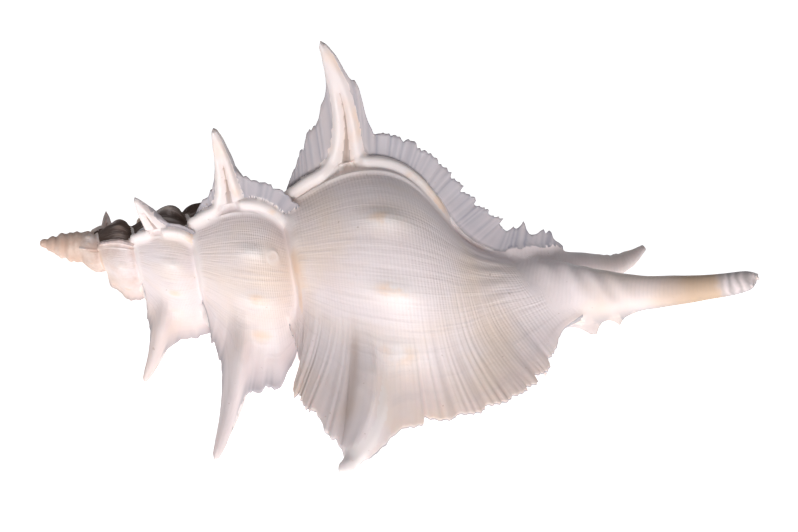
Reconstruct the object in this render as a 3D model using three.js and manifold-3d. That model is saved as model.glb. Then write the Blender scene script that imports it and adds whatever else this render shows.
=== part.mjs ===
// A murex shell: three rows of winged, spined varices on a coiled shell with a long siphonal canal.
// Millimetres. The shell grows about the X axis, from the apex at x = 0 to the canal at +X, and is laid to rest on Z = 0.
import * as THREE from "three";
import { LoftGeometry } from "three/addons/geometries/LoftGeometry.js";
import { mergeVertices } from "three/addons/utils/BufferGeometryUtils.js";
import Module from "manifold-3d";

const wasm = await Module();
wasm.setup();

// ---- Growth -------------------------------------------------------------------------------------------------
// An angle of growth is 0 at the lip and falls towards the apex. A length "at scale 1" is its length at the lip.
const WHORL_GROWTH = 1.62;       // growth of every length over one whorl
const VARIX_STEP = 114;          // degrees of growth between one varix and the next
const SHOULDER_RADIUS = 30.5;
const CORE_RADIUS = -1.5;        // a wedge of whorl reaches this far past the axis
const ROOT_X = 76;               // where along the axis the spines stand, at scale 1
const FLARE_LENGTH = 17;         // growth length over which a whorl rises into its varix, at every scale
const CORD_HEIGHT = 2.4;         // the smooth rounded cord in front of a varix
const CORD_WIDTH = 2.6;

// Outline of the newest whorl in a plane through the axis: [along the axis, distance from the axis].
const WHORL_OUTLINE = [
  [57, 10], [61, 16.5], [63, 19.4], [66.3, 22.2], [70, 25.2], [75.5, 28.6], [81.5, SHOULDER_RADIUS], [87, 30.4],
  [91.5, 28.6], [95.5, 25.5], [99, 22], [102.5, 18], [106, 14.4], [110, 11.6], [115, 9.4], [121, 7.6], [128, 5.2], [134, 2.4],
];

// Edge of a varix less the outline under it: [x on the outline, along the axis, outwards], at scale 1.
const LIP_WING = [
  [57, 0, 7], [61, 0, 13], [63, -3.5, 17.5], [66, -5, 19.5], [70, -5.5, 19], [75.5, -4.5, 17.5], [81.5, 0, 15.5], [87, 2, 12],
  [91.5, 5, 11], [95.5, 7, 11], [99, 8.5, 10.5], [102.5, 9, 9.8], [106, 8, 9], [110, 5, 6.5], [115, 2.6, 4], [121, 1.5, 2.2],
  [134, 0, 0.4],
];
const OLD_WING = [
  [57, 0, 2], [61, 0.5, 5], [63, 0, 8], [66, -1.8, 11.8], [70, -3.2, 15.5], [73, -4, 19], [76, -3, 20], [79.5, -1.2, 19],
  [81, -1, 13], [84, -0.8, 10.5], [87, 0, 9], [91.5, 2, 9.5], [95.5, 4.5, 8], [99, 6, 7.2], [102.5, 7, 7.4], [106, 7.5, 8], [110, 7.5, 8.4], [115, 7, 8.6],
  [121, 5, 8.2], [126, 3, 4.8], [134, 0, 2],
];

// The varices from the lip back: the share of the wing that is left on the apex side and on the canal side of the
// spine, the tip of the spine [along the axis, from the axis], its girth, and its bow towards the canal. The varix one
// whorl before the lip is cut short in front of the mouth.
const VARICES = [
  { wing: LIP_WING, share: [1, 1], tip: [72.3, 60.6], girth: 1.35, bow: 0.06 },
  { wing: OLD_WING, share: [0.86, 0.86], tip: [56.9, 52.7], girth: 1, bow: 0.08 },
  { wing: OLD_WING, share: [0.6, 0.85], tip: [50, 42], girth: 1, bow: 0.08 },
  { wing: OLD_WING, share: [0.55, 1.1], short: 94, tip: [44.8, 48.4], girth: 1, bow: 0.03 },
  { wing: OLD_WING, share: [0.42, 0.72], tip: [36.3, 35], girth: 0.95, bow: 0.03 },
  { wing: OLD_WING, share: [0.35, 0.5], tip: [31, 29.5], girth: 0.9, bow: 0.03 },
  { wing: OLD_WING, share: [0.25, 0.45], tip: [26.7, 28.3], girth: 0.95, bow: 0.03 },
  { wing: OLD_WING, share: [0.17, 0.25], tip: [20.9, 19.9], girth: 0.85, bow: 0 },
  { wing: OLD_WING, share: [0.16, 0.2], tip: [20, 15.5], girth: 0.8, bow: 0 },
  { wing: OLD_WING, share: [0.2, 0.3] },
  { wing: OLD_WING, share: [0.1, 0.12] },
  { wing: OLD_WING, share: [0.08, 0.1], tip: [13, 11.6], girth: 0.6, bow: 0 },
  { wing: OLD_WING, share: [0.1, 0.12] },
  { wing: OLD_WING, share: [0.06, 0.06] },
];

// The first whorls, worn smooth: [along the axis, radius].
const APEX_OUTLINE = [[0, 0.35], [0.7, 0.95], [1.5, 1.05], [2.5, 1.8], [3.5, 1.8], [4.7, 2.8], [6.1, 2.7], [7.6, 3.5], [9.6, 3.2], [12, 2.2]];

// Low knobs between two varices: place in the interval of growth between them.
const KNOB_PLACES = [0.38, 0.67, 0.88];
const KNOB = { x: 83, height: 1.3, halfLength: 4.2, halfWidth: 5 };

// Siphonal canal at scale 1: [along the axis, radius].
const CANAL_RADII = [[84, 2.5], [92, 4.6], [100, 6.6], [108, 7.8], [114, 7.6], [119, 6.7], [126, 5.2], [133, 4], [146, 2.5], [156, 2]];
const OLD_CANAL_RADII = [[86, 3], [95, 5], [104, 6.4], [112, 6], [119, 4.9], [126, 3.8], [133, 3], [146, 2.3], [155, 1.9]];
const CANAL_SLIT_WIDTH = 1.5;

// The canals that still stand, newest first: how strongly each trails and stands off, and its rings and sides.
const CANALS = [
  { radii: CANAL_RADII, trail: 1, rise: 1, keel: 0.35, rings: 14, sides: 10 },
  { radii: OLD_CANAL_RADII, trail: 1, rise: 1, keel: 0.9, rings: 10, sides: 8 },
  { radii: OLD_CANAL_RADII, trail: 1.1, rise: 2, keel: 0.9, rings: 8, sides: 7 },
];

// Aperture: an oval in front of the lip, carried back into the shell.
const MOUTH = { x: 84, r: 14.6, halfLength: 13.2, halfWidth: 9.2, turns: 300 };
const CAVITY = { halfLength: 15.2, halfWidth: 10.8 };
const MOUTH_RIM = 1.6;           // radius of the rounded rim round the mouth

// At rest the mouth faces down: the shell stands on two spine tips and the tip of an old canal. The growth angle that
// points down, and how far the canal end of the axis dips, in degrees.
const REST_ANGLE = 76.1;
const REST_DIP = 4.4;

// ---- Helpers ------------------------------------------------------------------------------------------------
const AXIS = new THREE.Vector3(1, 0, 0);
const rad = THREE.MathUtils.degToRad;
const lerp = THREE.MathUtils.lerp;
const clamp = THREE.MathUtils.clamp;
const outward = (deg) => new THREE.Vector3(0, -Math.sin(rad(deg)), Math.cos(rad(deg)));
const forward = (deg) => new THREE.Vector3(0, -Math.cos(rad(deg)), -Math.sin(rad(deg)));
const scaleAt = (deg) => WHORL_GROWTH ** (deg / 360);
const sum = (...terms) => terms.reduce((v, [w, u]) => v.addScaledVector(u, w), new THREE.Vector3());

// How far the canal end of a section trails behind its plane, and stands off the axis, at scale 1. Only the canals of
// the newest varices still trail; the share changes steadily from one varix to the next.
const TRAIL_SHARES = [1, 1, 0.35, 0];
function trailShare(deg) {
  const age = clamp(-deg / VARIX_STEP, 0, 2.999);
  return lerp(TRAIL_SHARES[Math.floor(age)], TRAIL_SHARES[Math.floor(age) + 1], age % 1);
}
const trail = (x) => { const u = Math.max(0, (x - 98) / 60); return 16 * u ** 1.35 + 5 * u ** 4; };
const rise = (x) => 8 * Math.max(0, (x - 110) / 48) ** 1.3;

// Linear reading of a table of rows that start with their place.
function lookup(table, x) {
  const last = table.length - 1;
  let i = 0;
  while (i < last - 1 && table[i + 1][0] < x) i++;
  const w = clamp((x - table[i][0]) / (table[i + 1][0] - table[i][0]), 0, 1);
  return table[i].slice(1).map((value, j) => lerp(value, table[i + 1][j + 1], w));
}

// A closed solid through sections that run counterclockwise as seen from the last one.
function solid(sections, capped = true) {
  const loft = new LoftGeometry(sections, { closed: true, capStart: capped, capEnd: capped });
  const skin = new THREE.BufferGeometry().setAttribute("position", loft.attributes.position).setIndex(loft.index);
  const merged = mergeVertices(skin, 1e-4);
  const mesh = new wasm.Mesh({
    numProp: 3,
    vertProperties: new Float32Array(merged.attributes.position.array),
    triVerts: new Uint32Array(merged.index.array),
  });
  return new wasm.Manifold(mesh);
}

// Points and outward normals of the whorl's outline.
function outline(count) {
  const curve = new THREE.SplineCurve(WHORL_OUTLINE.map(([x, r]) => new THREE.Vector2(x, r)));
  return Array.from({ length: count }, (_, i) => {
    const p = curve.getPoint(i / (count - 1));
    const t = curve.getTangent(i / (count - 1));
    return { x: p.x, r: p.y, nx: -t.y, nr: t.x, odd: i % 2 };
  });
}

// ---- Whorls and varices -------------------------------------------------------------------------------------
// A section of the whorl at an angle of growth; offset(point) moves a point of the outline in its plane.
function section(deg, points, offset, ahead = 0) {
  const g = scaleAt(deg), e = outward(deg), t = forward(deg);
  const place = (x, r, dx, dr) => sum([g * x + dx, AXIS], [g * r + dr, e], [ahead - g * trailShare(deg) * trail(x), t]);
  const ring = points.map((p) => place(p.x, p.r, ...offset(p)));
  ring.push(place(points[points.length - 1].x, 1.2, 0, 0), place(98, CORE_RADIUS, 0, 0), place(points[0].x, CORE_RADIUS, 0, 0));
  return ring.reverse();
}

function knobHeight(p, deg, start) {
  const along = ((p.x - KNOB.x) / KNOB.halfLength) ** 2;
  const heights = KNOB_PLACES.map((place) => Math.exp(-along - ((deg - start - VARIX_STEP * place) / KNOB.halfWidth) ** 2));
  return KNOB.height * scaleAt(deg) ** 0.6 * heights.reduce((a, b) => a + b);
}

// Back of a varix: [growth length before it, share of the wing's height]; then its front, down to the new whorl.
const WING_BACK = [[-FLARE_LENGTH, 0], [-10, 0.06], [-5.6, 0.23], [-2.5, 0.52], [-0.8, 0.86]];

function whorlWedge(k, count, rows) {
  const end = -VARIX_STEP * k, start = end - VARIX_STEP;
  const g = scaleAt(end), gStart = scaleAt(start);
  const { wing, share, short = Infinity } = VARICES[k];
  const points = outline(count);
  const sunk = (depth) => (p) => [p.nx, p.nr].map((n) => -depth * Math.min(1, p.r / 12) * n);
  const rim = (p) => {
    const left = lerp(share[0], share[1], clamp((p.x - 74) / 10, 0, 1)) * clamp((short - p.x) / 6, 0, 1);
    return lookup(wing, p.x).map((v) => v * left * (p.odd && k < 4 ? 0.9 : 1));
  };
  const cord = (p) => {
    const [dx, dr] = rim(p);
    const height = Math.min(CORD_HEIGHT * g * clamp((p.x - 58) / 6, 0, 1), 0.75 * Math.hypot(dx, dr));
    return [height * p.nx, height * p.nr];
  };
  const sections = [section(start - 2, points, sunk(0.35 * gStart))];
  const degreesPerMm = 1 / rad(1) / SHOULDER_RADIUS;
  const first = start + 4.5, last = end - (FLARE_LENGTH + 1.5) * degreesPerMm;
  for (let i = 0; i < rows; i++) {
    const deg = lerp(first, last, i / (rows - 1));
    sections.push(section(deg, points, (p) => [p.nx, p.nr].map((n) => knobHeight(p, deg, start) * n)));
  }
  const shaped = (offset, part) => (p) => offset(p).map((v) => v * part);
  const fine = k < 5;
  for (const [before, part] of WING_BACK.filter((_, i) => fine || i % 2 === 0)) {
    sections.push(section(end + before * degreesPerMm, points, shaped(rim, part)));
  }
  const edge = k < 3 ? 0.5 : 0.3;
  sections.push(section(end, points, rim));
  if (fine) sections.push(section(end, points, shaped(rim, 0.97), edge * 0.8));
  sections.push(section(end, points, shaped(cord, 1.12), edge * 1.6), section(end, points, cord, CORD_WIDTH * g * 0.7));
  if (fine) sections.push(section(end, points, shaped(cord, 0.45), CORD_WIDTH * g));
  sections.push(section(end, points, sunk(0.3 * g), CORD_WIDTH * g));
  sections.push(section(end, points, sunk(2 * g), (CORD_WIDTH + 2) * g));
  return solid(sections);
}

function apex() {
  const sections = APEX_OUTLINE.map(([x, r]) => ring(new THREE.Vector3(x, 0, 0), r, outward(0), forward(0), 8));
  return solid(sections);
}

// ---- Spines and canals --------------------------------------------------------------------------------------
function ring(centre, radius, across, up, count, shape = () => 1) {
  return Array.from({ length: count }, (_, i) => {
    const a = (2 * Math.PI * i) / count;
    const r = radius * shape(a);
    return sum([1, centre], [r * Math.cos(a), across], [r * Math.sin(a), up]);
  });
}

// Tube through knots, its first side held towards a direction; radius(share of length) and shape(share) give its rings.
function tube(knots, towards, radius, steps, count, shape = () => () => 1) {
  const curve = new THREE.CatmullRomCurve3(knots, false, "catmullrom", 0.5);
  return solid(Array.from({ length: steps + 1 }, (_, i) => {
    const s = i / steps;
    const t = curve.getTangent(s);
    const across = towards.clone().addScaledVector(t, -towards.dot(t)).normalize();
    return ring(curve.getPoint(s), radius(s), across, t.clone().cross(across), count, shape(s));
  }));
}

function spine(k, steps, count) {
  const { tip, girth, bow } = VARICES[k];
  const end = -VARIX_STEP * k, g = scaleAt(end);
  const e = outward(end), t = forward(end);
  const rootRadius = outline(200).find((p) => p.x >= ROOT_X).r;
  const base = sum([g * ROOT_X, AXIS], [g * rootRadius, e]);
  const top = sum([tip[0], AXIS], [tip[1], e], [-1, t]);
  const length = base.distanceTo(top);
  const out = top.clone().sub(base).normalize();
  const side = AXIS.clone().addScaledVector(out, -AXIS.dot(out));
  const deep = end - 24;
  const knots = [
    sum([scaleAt(deep) * (ROOT_X + 1.5), AXIS], [scaleAt(deep) * (rootRadius - 7), outward(deep)]),
    sum([1, base], [-2.6 * g, t], [-0.03 * length, out], [0.3 * bow * length, side]),
    sum([1, base], [-0.9 * g, t], [0.34 * length, out], [0.9 * bow * length, side]),
    sum([1, base], [-0.9 * g, t], [0.7 * length, out], [0.8 * bow * length, side]),
    top,
  ];
  const radii = [[0, 0.6 + 0.06 * length], [0.25, 1.25 + 0.115 * length], [0.5, 1 + 0.07 * length],
    [0.75, 0.8 + 0.042 * length], [0.93, 0.6 + 0.018 * length], [1, 0.35 + 0.006 * length]];
  const groove = (s) => (a) => (Math.cos(a) > 0.95 ? lerp(0.55, 1, clamp((s - 0.6) / 0.25, 0, 1)) : 1);
  return tube(knots, t, (s) => girth * lookup(radii, s)[0], steps, count, groove);
}

function canalMiddle(x, k) {
  const end = -VARIX_STEP * k, g = scaleAt(end), { trail: back, rise: off } = CANALS[k];
  return sum([g * x, AXIS], [g * off * rise(x), outward(end)], [-g * back * trail(x), forward(end)]);
}

function canal(k) {
  const { radii, keel, rings, sides } = CANALS[k];
  const from = radii[0][0], to = radii[radii.length - 1][0], g = scaleAt(-VARIX_STEP * k);
  const knots = Array.from({ length: 9 }, (_, i) => canalMiddle(lerp(from, to, i / 8), k));
  const crest = (s) => (a) => 1 + keel * clamp(1.4 - 1.6 * s, 0, 1) * Math.max(0, Math.cos(a)) ** 6;
  return tube(knots, outward(-VARIX_STEP * k), (s) => g * lookup(radii, lerp(from, to, s))[0], rings, sides, crest);
}

// The open side of the canal, as a blade that cuts from its middle outwards, in front.
function canalSlit(steps) {
  const half = CANAL_SLIT_WIDTH / 2;
  return solid(Array.from({ length: steps + 1 }, (_, i) => {
    const x = lerp(99, 162, i / steps);
    const c = canalMiddle(x, 0), e = outward(0), t = forward(0);
    const depth = 0.25 * lookup(CANAL_RADII, x)[0];
    return [[-half, -depth], [half, -depth], [half, 14], [-half, 14]].map(([a, b]) => sum([1, c], [a, e], [b, t]));
  }));
}

// ---- Mouth --------------------------------------------------------------------------------------------------
function oval(deg, halfLength, halfWidth, count, ahead = 0) {
  const g = scaleAt(deg), e = outward(deg), t = forward(deg);
  return Array.from({ length: count }, (_, i) => {
    const a = (-2 * Math.PI * i) / count;
    const r = MOUTH.r + halfWidth * Math.cos(a) * (1 - 0.12 * Math.sin(a));
    return sum([g * (MOUTH.x + halfLength * Math.sin(a)), AXIS], [g * r, e], [ahead, t]);
  });
}

function cavity() {
  const sections = [];
  for (let deg = -MOUTH.turns; deg < -30; deg += 25) sections.push(oval(deg, CAVITY.halfLength, CAVITY.halfWidth, 14));
  sections.push(oval(-25, CAVITY.halfLength, CAVITY.halfWidth, 14), oval(-8, 13.6, 9.6, 14));
  sections.push(oval(0, MOUTH.halfLength, MOUTH.halfWidth, 14), oval(0, MOUTH.halfLength, MOUTH.halfWidth, 14, 12));
  return solid(sections);
}

function mouthRim(count) {
  const centre = sum([MOUTH.x, AXIS], [MOUTH.r, outward(0)]);
  const path = oval(0, MOUTH.halfLength + 0.8, MOUTH.halfWidth + 0.8, count, CORD_WIDTH - 0.3);
  const rings = path.map((p) => ring(p, MOUTH_RIM, p.clone().sub(centre).normalize(), forward(180), 6));
  return solid([...rings, rings[0]], false);
}

// ---- The whole shell ----------------------------------------------------------------------------------------
const WEDGE_POINTS = [34, 28, 22, 20, 18, 16, 14, 14, 12, 12, 10, 10, 8, 8];
const WEDGE_ROWS = [9, 6, 4, 4, 4, 3, 3, 3, 3, 3, 3, 3, 3, 3];

function grow() {
  const pieces = VARICES.map((_, k) => whorlWedge(k, WEDGE_POINTS[k], WEDGE_ROWS[k]));
  VARICES.forEach((v, k) => { if (v.tip) pieces.push(spine(k, k < 4 ? 8 : 5, k < 4 ? 8 : 6)); });
  pieces.push(apex(), ...CANALS.map((_, k) => canal(k)), mouthRim(16));
  const whole = pieces.reduce((a, b) => a.add(b)).subtract(cavity()).subtract(canalSlit(8));
  return whole.decompose().reduce((a, b) => (b.volume() > a.volume() ? b : a));
}

const mesh = grow().getMesh();
const geometry = new THREE.BufferGeometry();
geometry.setAttribute("position", new THREE.BufferAttribute(mesh.vertProperties, 3));
geometry.setIndex(new THREE.BufferAttribute(mesh.triVerts, 1));
geometry.computeVertexNormals();

const shell = new THREE.Mesh(geometry, new THREE.MeshStandardMaterial({ color: 0xf0e6dc, roughness: 0.5 }));
shell.name = "shell";
shell.rotation.set(rad(180 - REST_ANGLE), rad(REST_DIP), 0, "YXZ");

const murex = new THREE.Group();
murex.name = "murex_shell";
murex.add(shell);
const box = new THREE.Box3().setFromObject(murex, true);
const middle = box.getCenter(new THREE.Vector3());
murex.position.set(-middle.x, -middle.y, -box.min.z);
export default murex;
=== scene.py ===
"""A white murex shell, grown in code: a coiled tube with a winged, spined varix every 114 degrees.

Lengths in the growth code are millimetres in the shell's own frame. There the shell grows about the X
axis, from the apex at x = 0 to the canal at +X, and the lip stands at growth angle 0. The result is laid
on its spines, in metres. Names: deg is a growth angle, g the scale of the shell there,
x a place along the axis and r a distance from it, both at scale 1, k the number of a varix from the lip
back, and s a share of a varix's height.
"""

import bpy
import numpy as np
from mathutils import Matrix, Vector, kdtree
from mathutils.geometry import tessellate_polygon


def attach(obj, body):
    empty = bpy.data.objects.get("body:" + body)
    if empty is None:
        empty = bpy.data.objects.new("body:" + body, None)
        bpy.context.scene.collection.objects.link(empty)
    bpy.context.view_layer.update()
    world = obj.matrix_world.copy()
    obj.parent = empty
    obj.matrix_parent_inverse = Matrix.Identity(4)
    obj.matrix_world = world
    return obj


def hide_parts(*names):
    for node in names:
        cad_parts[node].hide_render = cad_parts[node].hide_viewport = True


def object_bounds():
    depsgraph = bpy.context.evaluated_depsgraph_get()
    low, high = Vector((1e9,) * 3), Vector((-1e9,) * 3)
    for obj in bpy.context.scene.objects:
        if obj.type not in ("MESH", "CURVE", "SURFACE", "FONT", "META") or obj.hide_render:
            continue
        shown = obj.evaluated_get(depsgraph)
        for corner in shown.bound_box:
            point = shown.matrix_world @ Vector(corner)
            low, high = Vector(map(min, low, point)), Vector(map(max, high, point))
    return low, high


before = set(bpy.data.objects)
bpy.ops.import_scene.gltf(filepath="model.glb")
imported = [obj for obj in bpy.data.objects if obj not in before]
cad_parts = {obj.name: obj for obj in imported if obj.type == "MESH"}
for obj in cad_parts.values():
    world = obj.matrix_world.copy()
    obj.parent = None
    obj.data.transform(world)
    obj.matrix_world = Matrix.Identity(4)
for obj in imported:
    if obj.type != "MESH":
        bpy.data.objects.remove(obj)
CAD_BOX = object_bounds()

# ---- Driving dimensions ------------------
WHORL_GROWTH = 1.62          # growth of every length over one whorl
VARIX_STEP = 114.0           # degrees of growth between varices
SHOULDER_RADIUS = 30.5
CORE_RADIUS = -1.5           # a wedge of whorl reaches this far past the axis
ROOT_X = 76.0                # where along the axis the spines stand, at scale 1
CORD_HEIGHT = 2.2            # step in front of a varix, at scale 1
CORD_WIDTH = 2.6
CORD_RADIUS = 1.85           # round cord that runs over the step and up the spine
RIB_SPACING = 1.5            # ribs of the wings, at scale 1
THREAD_SPACING = 0.85        # spiral threads, at scale 1
TRAIL_START = 98             # where along the axis the canal starts to sweep back
RISE_START = 110             # and where it starts to bend outwards

# Outline of the newest whorl in a plane through the axis: along the axis, distance from the axis.
WHORL_OUTLINE = [
    (57, 10), (61, 16.5), (63, 19.4), (66.3, 22.2), (70, 25.2), (75.5, 28.6), (81.5, SHOULDER_RADIUS),
    (87, 30.4), (91.5, 28.6), (95.5, 25.5), (99, 22), (102.5, 18), (106, 14.4), (110, 11.6), (115, 9.4),
    (121, 7.2), (128, 4.6), (134, 2.2)]

# Edge of a varix less the outline under it, at scale 1: x on the outline, along the axis, outwards.
LIP_WING = [
    (57, 0, 7), (61, 0, 13), (63, -3.5, 17.5), (66, -5, 19.5), (70, -5.5, 19), (75.5, -4.5, 17.5),
    (81.5, 0, 15.5), (87, 2, 12), (91.5, 5, 11), (95.5, 7, 11), (99, 8.5, 10.5), (102.5, 9, 9.8),
    (106, 8, 9), (110, 5, 6.5), (115, 1.5, 2.2), (121, 0, 0.9), (134, 0, 0.3)]
OLD_WING = [
    (57, 0, 2), (61, 0.5, 5), (63, 0, 8), (66, -1.8, 11), (70, -2.6, 9.5), (73, -2, 8.5), (76, -1, 8.5),
    (79.5, -0.8, 9), (81, -0.8, 9.5), (84, -0.8, 9.5), (87, 0, 9), (91.5, 2, 9.5), (95.5, 4.5, 8),
    (99, 6, 7.2), (102.5, 7, 7.4), (106, 7.5, 8), (110, 7.5, 8.4), (115, 7, 8.6), (121, 5, 8.2),
    (126, 3, 4.8), (134, 0, 2)]

# The same for the varix before the lip, whose last lobes reach on over the canal.
LAST_WING = OLD_WING[:17] + [
    (115, 3, 7.2), (119, 1.5, 9.6), (123.4, 0, 12.8), (124.6, 0, 10.2), (126, 0, 10), (130, 0, 15),
    (131.4, 0, 11.5), (134, 0, 10.5)]

# Outlines of spines: distance from the middle line at scale 1, and how far up the sheet still reaches.
SPINE_APEX_SIDE = [
    (0, 1), (1, 0.95), (1.7, 0.8), (2.1, 0.64), (2.5, 0.53), (2.9, 0.46), (3.9, 0.38), (4.6, 0.24),
    (7.4, 0.15), (9.6, 0)]
SPINE_CANAL_SIDE = [
    (0, 1), (1, 0.95), (1.9, 0.84), (2.4, 0.72), (3.1, 0.6), (4.3, 0.56), (5.1, 0.46), (5.7, 0.2), (6.6, 0)]
LIP_APEX_SIDE = [
    (0, 1), (0.9, 0.95), (1.5, 0.8), (2.1, 0.65), (3.6, 0.53), (6.2, 0.35), (6.6, 0.19), (8, 0)]
LIP_CANAL_SIDE = [
    (0, 1), (1.0, 0.95), (1.7, 0.82), (2.4, 0.66), (3.8, 0.56), (4.7, 0.47), (5.6, 0.37), (7.6, 0.18),
    (9.5, 0)]
SPINE_PLAIN_SIDE = [
    (0, 1), (1, 0.96), (1.7, 0.82), (2.2, 0.62), (2.8, 0.42), (3.6, 0.26), (4.6, 0.14), (6, 0.05), (8, 0)]

# Varices from the lip back: wing if it isn't OLD_WING, its share on the apex side and the canal side of the
# spine, spine tip (along the axis, from the axis), stoutness of the spine, bow towards the canal, outlines
# of the spine's two sides if they aren't the plain one, and where the wing stops short.
VARICES = [
    dict(wing=LIP_WING, share=(1, 1), tip=(72.3, 60.6), root=0.8, bow=0.1,
         sides=(LIP_APEX_SIDE, LIP_CANAL_SIDE)),
    dict(wing=LAST_WING, share=(0.86, 0.86), tip=(56.9, 52.7), root=1, bow=0.08,
         sides=(SPINE_APEX_SIDE, SPINE_CANAL_SIDE)),
    dict(share=(0.6, 0.85), tip=(50, 42), root=0.8, bow=0.08),
    dict(share=(0.6, 1.25), tip=(44.8, 48.4), root=1.1, bow=0.03, short=94),
    dict(share=(0.42, 0.72), tip=(36.3, 35), root=1.1, bow=0.03),
    dict(share=(0.35, 0.5), tip=(31, 29.5), root=1, bow=0.03),
    dict(share=(0.5, 0.62), tip=(26.7, 28.3), root=1.3, bow=0.03),
    dict(share=(0.17, 0.25), tip=(20.9, 19.9), root=1.1, bow=0),
    dict(share=(0.16, 0.2), tip=(20, 15.5), root=1.1, bow=0),
    dict(share=(0.2, 0.3)),
    dict(share=(0.1, 0.12)),
    dict(share=(0.07, 0.08), tip=(13, 11.6), root=1, bow=0),
    dict(share=(0.05, 0.06)),
    dict(share=(0.03, 0.03)),
]
# The round horn on the back of the lip's spine: share of its length, ahead along the growth, radius.
LIP_HORN = [
    (0.0, -6.5, 1.5), (0.12, -4.4, 2.3), (0.28, -2.9, 2.7), (0.44, -1.9, 2.7), (0.6, -1.3, 2.5),
    (0.8, -0.9, 2.2), (0.93, -0.5, 1.8), (0.985, -0.4, 1.35), (1, -0.3, 0.7)]
CREASE_X = 73.4              # crease beside the horn, along the axis
# The back of a varix: share of its height, and how far before the varix the sheet is there.
BACK_SLOPE = [
    (0, -17), (0.02, -13), (0.06, -10), (0.13, -7.6), (0.23, -5.6), (0.36, -3.9), (0.52, -2.5), (0.7, -1.5),
    (0.86, -0.8), (1, -0.25)]
# Half width of a spine's rounded back, by share of its length.
SPINE_HALF_WIDTH = [(0, 4.6), (0.25, 3.8), (0.5, 3.0), (0.75, 2.2), (1, 1.1)]
# The cords on a spine's front: share of its height, distance from its middle line, radius.
SPINE_CORD = [
    (0.1, 3.1, 1.65), (0.24, 2.1, 1.65), (0.42, 1.6, 1.5), (0.6, 1.28, 1.25), (0.75, 0.95, 1.1),
    (0.88, 0.6, 0.98), (0.96, 0.25, 0.8), (1, 0.05, 0.55)]
# The same cords along the foot of the varix, on the apex side and the canal side: places along the axis.
CORD_FEET = {-1: [60.5, 62.5, 65.5, 68.5, 71.3], 1: [104, 100, 96, 92, 88, 84.5, 81.2]}
# Close rows at the start of a body, in degrees from its first row; a low arch stands at ARCH_PLACE.
ARCH_ROWS = [0, 1.6, 3.2, 4.3, 5.1, 5.9, 6.7, 7.5, 8.6]
ARCH_PLACE = 5.9
# Wedges that carry the painted shadow, a dark brown sheet, and how far along the axis it reaches.
SHADOW_REACH = {4: 80, 7: 200, 10: 200}
# Points along the outline of each wedge, and how finely its rows are spaced.
WEDGE_POINTS = [284, 234, 120, 150, 120, 80, 84, 84, 56, 56, 50, 44, 44, 44]
WEDGE_FINENESS = [0.96, 0.82, 0.5, 0.6, 0.5, 0.4, 0.4, 0.4, 0.3, 0.3, 0.3, 0.26, 0.26, 0.26]

APEX_OUTLINE = [
    (0, 0.35), (0.3, 0.75), (0.9, 1.0), (1.5, 1.05), (2.0, 1.5), (2.7, 1.8), (3.4, 1.85), (4.0, 2.4),
    (4.9, 2.8), (5.8, 2.75), (6.6, 3.1), (7.6, 3.4), (9.0, 3.2), (12, 2.2)]
KNOB_PLACES = (0.38, 0.66, 0.87)
# Swellings of the old whorls: varix, growth angle, along the axis at scale 1, width there, height.
SWELLINGS = [(7, -850, 88, 9, 1.9), (4, -497, 64, 5, 1.9), (10, -1210, 90, 10, 1.1)]
KNOB = dict(x=83.0, height=1.0, half_length=5.4, half_width=5.2)

CANAL_RADII = [
    (84, 2.5), (92, 4.6), (100, 6.6), (108, 7.8), (114, 7.6), (119, 6.7), (126, 5.2), (133, 4.1),
    (146, 3.0), (157.4, 2.55)]
OLD_CANAL_RADII = [
    (86, 3), (95, 5), (104, 6.4), (112, 6), (119, 4.9), (126, 3.8), (133, 3.5), (141, 3.3), (149, 2.9),
    (153.5, 2.1), (155.5, 0.8)]
LAST_CANAL_LIFT = [
    (104, 0), (118, 5), (126, 7.6), (132, 8.2), (137, 7.6), (143, 6.7), (147, 6.5), (150, 7.3), (153, 9),
    (155.5, 11.2)]
CANALS = [
    dict(radii=CANAL_RADII, trail=1, rise=1, lift=[(0, 0)], keel=0.25, rings=120, sides=48),
    dict(radii=OLD_CANAL_RADII, trail=1, rise=0, lift=LAST_CANAL_LIFT, keel=0.5, rings=90, sides=28),
    dict(radii=OLD_CANAL_RADII, trail=1.1, rise=2, lift=[(0, 0)], keel=0.9, rings=60, sides=20),
]
CANAL_SLIT_WIDTH = 1.5
# Saw teeth along the lower side of the canal: where along the axis, how far out.
CANAL_TEETH = [
    (108, 0), (113, 1.3), (119, 2.0), (123, 4.0), (123.6, 0.9), (125.8, 1.3), (128.2, 3.1), (128.8, 0.6),
    (130.4, 0.9), (131.8, 1.9), (132.4, 0), (170, 0)]
CANAL_TEETH_SIDE = 50.0      # degrees round the canal from the outward side
TRAIL_SHARES = (1, 1, 0.35, 0)

MOUTH = dict(x=84.0, r=14.6, half_length=13.2, half_width=9.2, turn=300)
CAVITY = dict(half_length=15.2, half_width=10.8)
MOUTH_RIM = 1.6
SUTURE = dict(x=61.2, radius=1.15)
# Ring left by a small animal on the older whorl.
SCAR = dict(x=90.2, angle=-411.5, radius=1.35, thickness=0.36)

REST_ANGLE = 76.1            # growth angle that points down at rest
REST_DIP = 4.4               # how far the canal end of the axis dips
CAMERA_ANGLE = -42.0         # growth angle that the camera looks at
CAMERA_TILT = 6.5            # how far the axis slopes down to the right in view
CAMERA_DISTANCE = 750.0
CAMERA_TARGET = (79.3, 3.9)  # along the axis, and above it as seen
CAMERA_LENS = 153.3
STAGE_HALF_WIDTH = 6.0       # metres
WALL_START = 5.0             # metres behind the shell
FLOOR_GLOW = 0.88
WORLD_STRENGTH = 0.26
KEY_POWER = 5.4
FILL_POWER = 0.6

AXIS = np.array([1.0, 0.0, 0.0])
MASKS = ("wing", "cord", "spine", "groove", "knob", "inner", "rib", "dark", "joint", "along", "arc",
         "growth", "size")


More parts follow.
